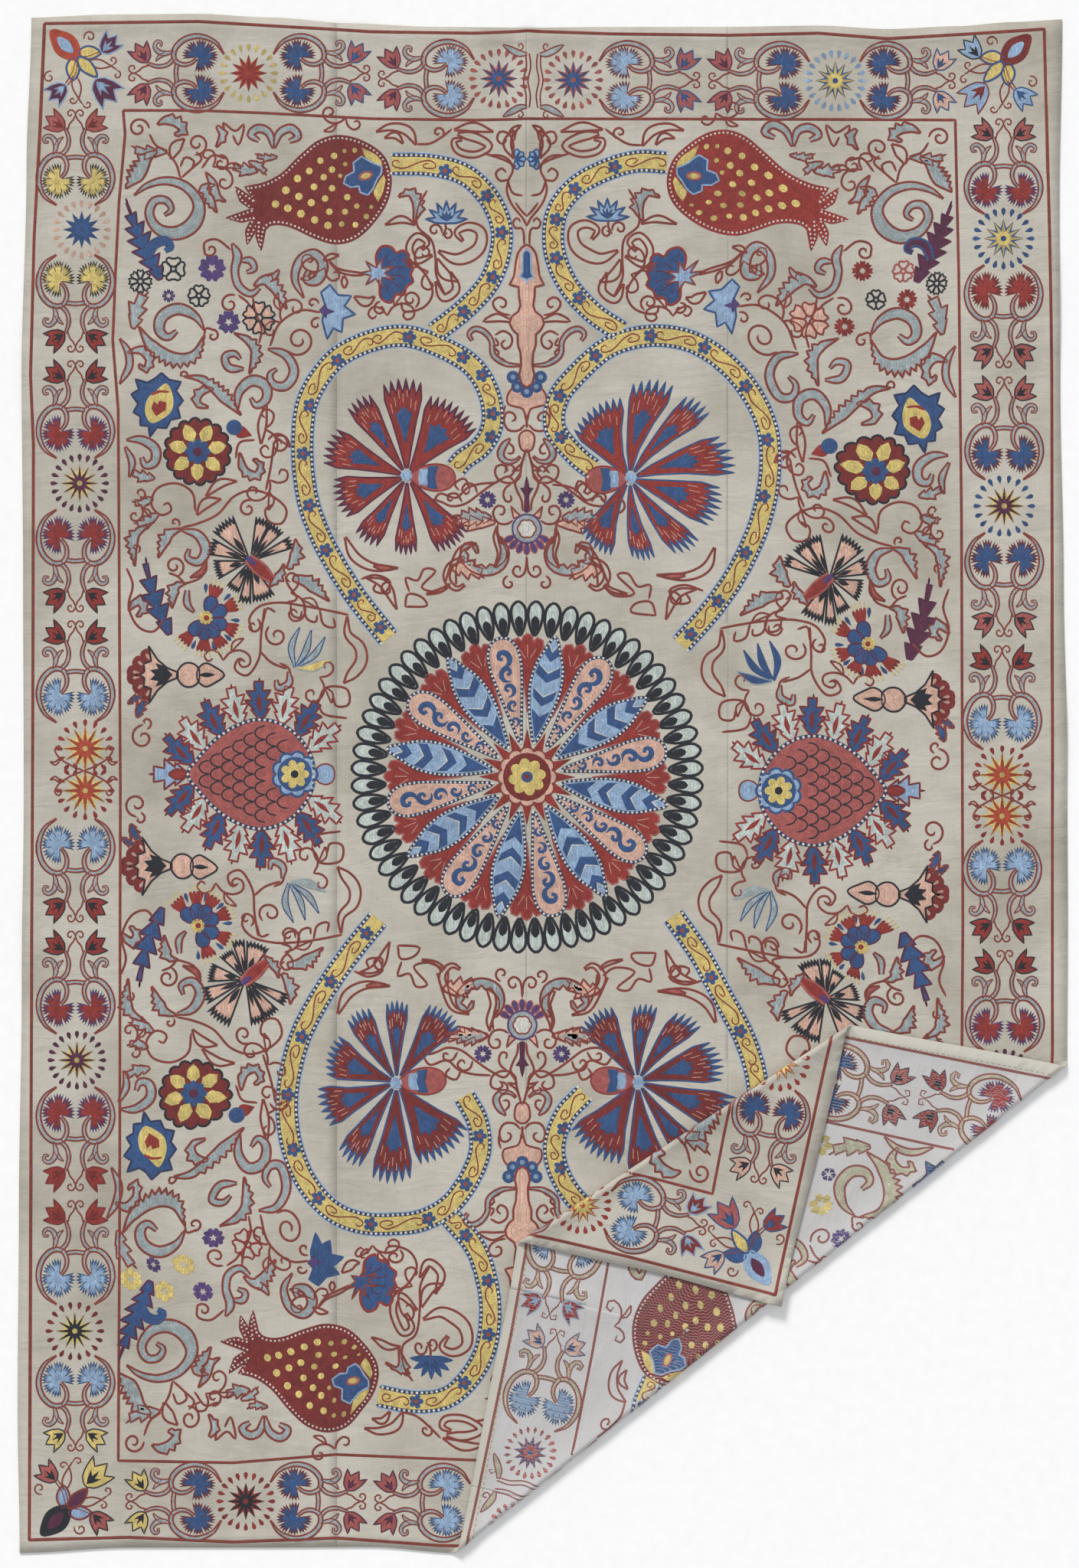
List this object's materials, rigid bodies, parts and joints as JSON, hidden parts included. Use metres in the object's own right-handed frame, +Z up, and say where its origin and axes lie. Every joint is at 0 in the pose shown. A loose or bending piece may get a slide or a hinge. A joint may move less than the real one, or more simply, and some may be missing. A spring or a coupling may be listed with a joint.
{
  "type": "suzani embroidered textile",
  "caption": "Hand-embroidered cotton hanging of joined loom panels, laid flat face up with one lower corner folded over and its tip folded back.",
  "frame": {"origin": "on the surface that the cloth lies on, at the middle of the laid cloth's box", "axes": "+Z up out of the embroidered face, +Y along the long side towards the top of the design, +X towards its right side"},
  "size_m": [1.5229, 2.2334, 0.0169],
  "materials": {
    "cotton_ground": "matt undyed cotton, dulled by use, with silk and cotton chain stitch"
  },
  "bodies": {
    "root": {"panel_left": "cotton_ground", "panel_inner_left": "cotton_ground", "panel_inner_right": "cotton_ground", "panel_right": "cotton_ground"}
  },
  "joints": []
}
